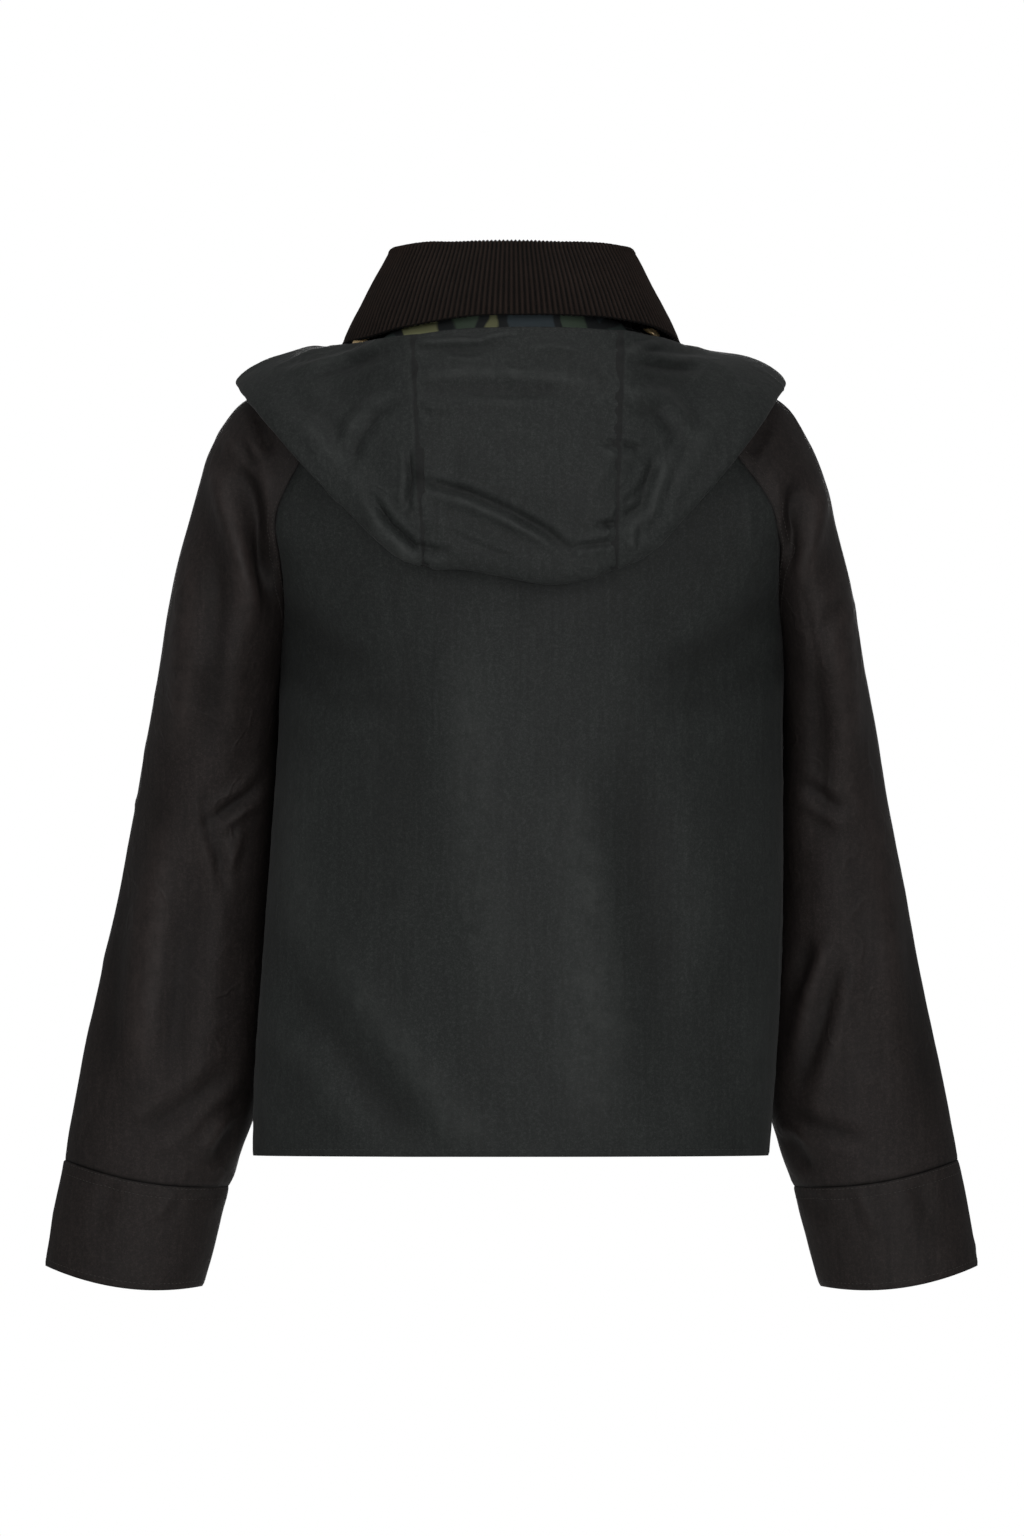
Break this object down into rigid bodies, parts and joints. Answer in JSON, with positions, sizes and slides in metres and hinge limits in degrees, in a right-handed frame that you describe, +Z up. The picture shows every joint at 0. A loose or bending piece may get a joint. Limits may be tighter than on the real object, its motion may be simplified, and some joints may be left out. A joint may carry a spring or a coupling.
{
  "type": "waxed cotton jacket",
  "caption": "Hip-length raglan jacket in waxed cotton, worn form, corduroy collar, hood worn down on the back, deep cuffs.",
  "frame": {"origin": "middle of the neck opening, at the height of the neck seam", "axes": "+Z up, the front faces -Y, the back +Y, and +X is the wearer's left"},
  "size_m": [0.675, 0.2854, 0.7571],
  "materials": {
    "shell": "waxed cotton, matt, charcoal green-grey with a fine heather",
    "sleeve_cloth": "smooth waxed cotton, satin, dark brown",
    "corduroy": "corduroy with a soft nap, very dark brown",
    "lining": "printed cotton, matt",
    "stud_brass": "aged brass, softly worn"
  },
  "bodies": {
    "root": {"back": "shell", "front_left": "shell", "front_right": "shell", "sleeve_left": "sleeve_cloth", "sleeve_right": "sleeve_cloth", "cuff_left": "sleeve_cloth", "cuff_right": "sleeve_cloth", "collar": "corduroy", "hood_left": "shell", "hood_centre": "shell", "hood_right": "shell", "hood_lining": "lining", "hood_stud_left": "stud_brass", "hood_stud_right": "stud_brass", "front_stud_1": "stud_brass", "front_stud_2": "stud_brass", "front_stud_3": "stud_brass", "front_stud_4": "stud_brass", "front_stud_5": "stud_brass"}
  },
  "joints": []
}
